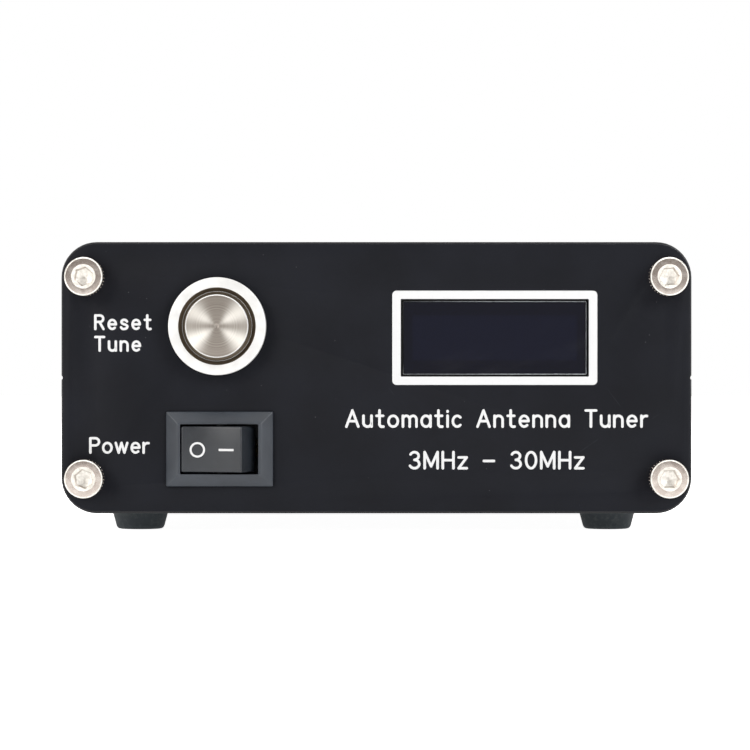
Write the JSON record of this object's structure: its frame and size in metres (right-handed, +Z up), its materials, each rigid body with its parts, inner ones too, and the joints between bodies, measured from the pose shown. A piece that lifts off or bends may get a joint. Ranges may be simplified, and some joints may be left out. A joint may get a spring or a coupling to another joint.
{
  "type": "antenna tuner",
  "caption": "Small automatic antenna tuner in a black split aluminium case, with a metal push button, rocker switch, display window and coaxial sockets at the rear.",
  "frame": {"origin": "middle of the underside of the whole object, at the level of the feet's soles", "axes": "+X to the right seen from the front, +Y from the front panel to the rear panel, +Z up"},
  "size_m": [0.0886, 0.144, 0.0409],
  "materials": {
    "case_black": "black anodised, bead blasted",
    "panel_black": "matte black solder resist over laminate",
    "steel": "stainless, turned",
    "steel_face": "turned face with a circular grain",
    "nickel": "bright nickel plate",
    "foot_rubber": "matte moulded rubber",
    "seal_rubber": "smooth rubber",
    "adhesive_white": "foam adhesive tape",
    "insulator_black": "moulded",
    "contact_brass": "gold-coloured plate",
    "switch_black": "fine moulded texture",
    "rocker_black": "smooth moulded, white marks",
    "display_glass": "near-black glass, polished",
    "board_blue": "solder resist",
    "board_green": "solder resist with pads",
    "relay_case": "moulded",
    "core_red": "enamelled iron powder",
    "core_grey": "sintered ferrite",
    "copper_wire": "enamelled copper",
    "chip_black": "moulded epoxy",
    "capacitor_can": "drawn can",
    "capacitor_orange": "dipped",
    "lead_red": "flexible insulation",
    "lead_black": "flexible insulation",
    "lead_white": "flexible insulation",
    "insulator_white": "machined"
  },
  "bodies": {
    "root": {"upper_case": "case_black", "lower_case": "case_black", "front_panel": "panel_black", "rear_panel": "panel_black", "front_screws": "steel", "rear_screws": "steel", "feet": "foot_rubber", "foot_pads": "adhesive_white", "button_housing": "nickel", "button_spring": "steel", "button_seal": "seal_rubber", "button_washer": "nickel", "button_nut": "nickel", "button_base": "insulator_black", "button_terminals": "contact_brass", "switch_housing": "switch_black", "switch_terminals": "contact_brass", "display_glass": "display_glass", "display_tape": "adhesive_white", "display_board": "board_blue", "display_header": "insulator_black", "display_leads": "lead_red", "main_board": "board_green", "capacitor_relays": "relay_case", "inductor_relays": "relay_case", "toroid_cores": "core_red", "toroid_windings": "copper_wire", "air_coils": "copper_wire", "coupler_cores": "core_grey", "coupler_windings": "copper_wire", "microcontroller": "chip_black", "relay_drivers": "chip_black", "voltage_regulator": "chip_black", "filter_capacitors": "capacitor_can", "tuning_capacitors": "capacitor_orange", "board_headers": "insulator_black", "button_leads": "lead_white", "switch_leads": "lead_red", "power_leads": "lead_black", "antenna_lead": "lead_white", "radio_lead": "lead_white", "antenna_socket": "nickel", "radio_socket": "nickel", "antenna_insulator": "insulator_white", "radio_insulator": "insulator_white", "antenna_contact": "contact_brass", "radio_contact": "contact_brass", "socket_screws": "steel", "socket_nuts": "steel", "jack_body": "nickel", "jack_pin": "contact_brass", "jack_base": "insulator_black", "jack_nut": "nickel"},
    "tune_button": {"tune_button": "steel_face", "button_bridge": "contact_brass"},
    "rocker": {"rocker": "rocker_black", "rocker_plunger": "steel", "plunger_spring": "steel"},
    "switch_lever": {"switch_lever": "contact_brass"}
  },
  "joints": [
    {"name": "tune_button_press", "type": "slide", "parent": "root", "child": "tune_button", "axis": [0, 1, 0], "range_m": [0, 0.0015], "stiffness_N_per_m": 1000, "springref_m": -0.002, "deforming": ["button_spring"]},
    {"name": "rocker_tilt", "type": "hinge", "parent": "root", "child": "rocker", "pos_m": [-0.022, -0.06646, 0.0118], "axis": [0, 0, 1], "range_deg": [0, 26]},
    {"name": "contact_lever_tilt", "type": "hinge", "parent": "root", "child": "switch_lever", "pos_m": [-0.022, -0.06086, 0.0118], "axis": [0, 0, 1], "range_deg": [-18.2, 0]}
  ],
  "couplings": [
    {"joint": "contact_lever_tilt", "follows": "rocker_tilt", "ratio": -0.7}
  ]
}
